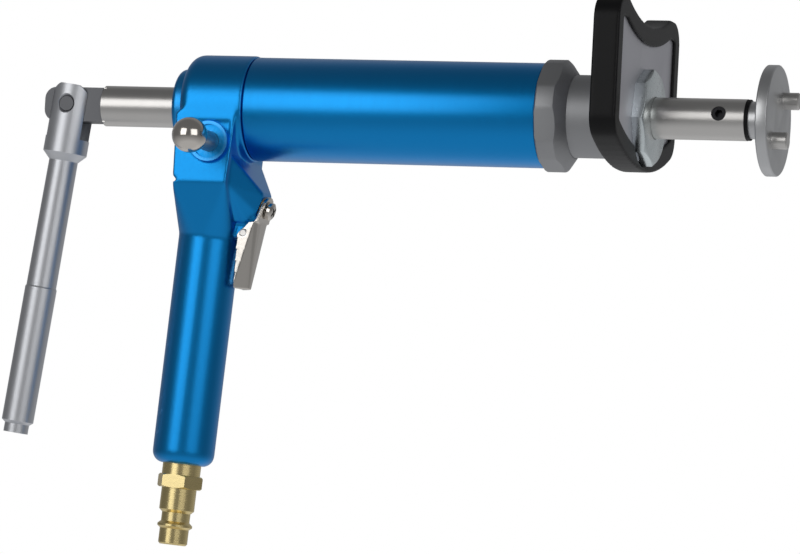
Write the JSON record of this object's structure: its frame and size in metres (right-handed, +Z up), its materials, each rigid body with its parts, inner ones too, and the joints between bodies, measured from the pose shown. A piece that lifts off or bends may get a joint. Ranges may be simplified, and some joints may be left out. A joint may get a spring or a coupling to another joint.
{
  "type": "pneumatic brake caliper piston wind-back tool",
  "caption": "Air pistol that pushes a brake caliper piston home while its folding crank turns the spindle, with a pinned adapter disc, reaction plate and trigger.",
  "frame": {"origin": "centre of the adapter disc's front face, on the spindle axis", "axes": "+X forward along the spindle, out of the adapter disc; +Z up; -Y is the side with the vent knob"},
  "size_m": [0.2747, 0.086, 0.1871],
  "materials": {
    "blue_anodised": "satin blue anodised",
    "grey_aluminium": "blasted, natural anodised",
    "polished_steel": "ground and polished",
    "zinc_steel": "bright zinc plated",
    "satin_chrome": "satin chrome",
    "bright_chrome": "polished chrome",
    "disc_steel": "turned, satin nickel plated",
    "plate_grey": "fine blasted",
    "black_rubber": "moulded, semi-matt",
    "seal_rubber": "moulded",
    "brass": "turned",
    "bronze": "sintered",
    "black_oxide": "black oxide",
    "bearing_steel": "hardened, ground"
  },
  "bodies": {
    "gun": {"housing": "blue_anodised", "rear_cap": "blue_anodised", "rear_rod_seal": "seal_rubber", "rear_bush": "bronze", "barrel": "blue_anodised", "barrel_o_rings": "seal_rubber", "front_gland": "grey_aluminium", "front_rod_seal": "seal_rubber", "nose_sleeve": "grey_aluminium", "nose_bush": "bronze", "reaction_plate": "plate_grey", "plate_guard": "black_rubber", "clamp_nut": "zinc_steel", "trigger_pin": "polished_steel", "valve_guide": "brass", "valve_seat": "brass", "spool_gland": "blue_anodised", "exhaust_plug": "bronze", "air_nipple": "brass", "inlet_filter": "bronze"},
    "piston": {"piston": "grey_aluminium", "piston_cover": "grey_aluminium", "piston_seals": "seal_rubber", "spindle_o_rings": "seal_rubber", "piston_races": "bearing_steel"},
    "spindle": {"spindle": "polished_steel", "spindle_races": "bearing_steel", "thrust_balls": "bearing_steel", "adapter": "disc_steel", "adapter_pins": "polished_steel", "adapter_set_screw": "black_oxide", "shank_ring": "seal_rubber"},
    "crank": {"crank_handle": "satin_chrome", "crank_pin": "polished_steel"},
    "trigger": {"trigger": "bright_chrome"},
    "air_valve": {"valve_stem": "brass", "valve_seal": "seal_rubber", "valve_spring": "bearing_steel", "trigger_screw": "bright_chrome"},
    "vent_valve": {"vent_spool": "polished_steel", "vent_knob": "bright_chrome", "vent_o_rings": "seal_rubber"}
  },
  "joints": [
    {"name": "piston_stroke", "type": "slide", "parent": "gun", "child": "piston", "axis": [1, 0, 0], "range_m": [-0.026, 0.026]},
    {"name": "spindle_turn", "type": "hinge", "parent": "piston", "child": "spindle", "pos_m": [0, 0, 0], "axis": [1, 0, 0], "continuous": true},
    {"name": "crank_fold", "type": "hinge", "parent": "spindle", "child": "crank", "pos_m": [-0.2501, 0, 0], "axis": [0, 1, 0], "range_deg": [-7, 172.5]},
    {"name": "trigger_pull", "type": "hinge", "parent": "gun", "child": "trigger", "pos_m": [-0.18369, 0, -0.04299], "axis": [0, 1, 0], "range_deg": [0, 6], "stiffness_Nm_per_rad": 0.5, "springref_deg": -5.73},
    {"name": "valve_travel", "type": "slide", "parent": "gun", "child": "air_valve", "axis": [0.9588, 0, -0.284], "range_m": [0, 0.00103], "deforming": ["valve_spring"]},
    {"name": "vent_push", "type": "slide", "parent": "gun", "child": "vent_valve", "axis": [0, 1, 0], "range_m": [0, 0.006]}
  ],
  "couplings": [
    {"joint": "valve_travel", "follows": "trigger_pull", "m_per_rad": 0.0097}
  ]
}
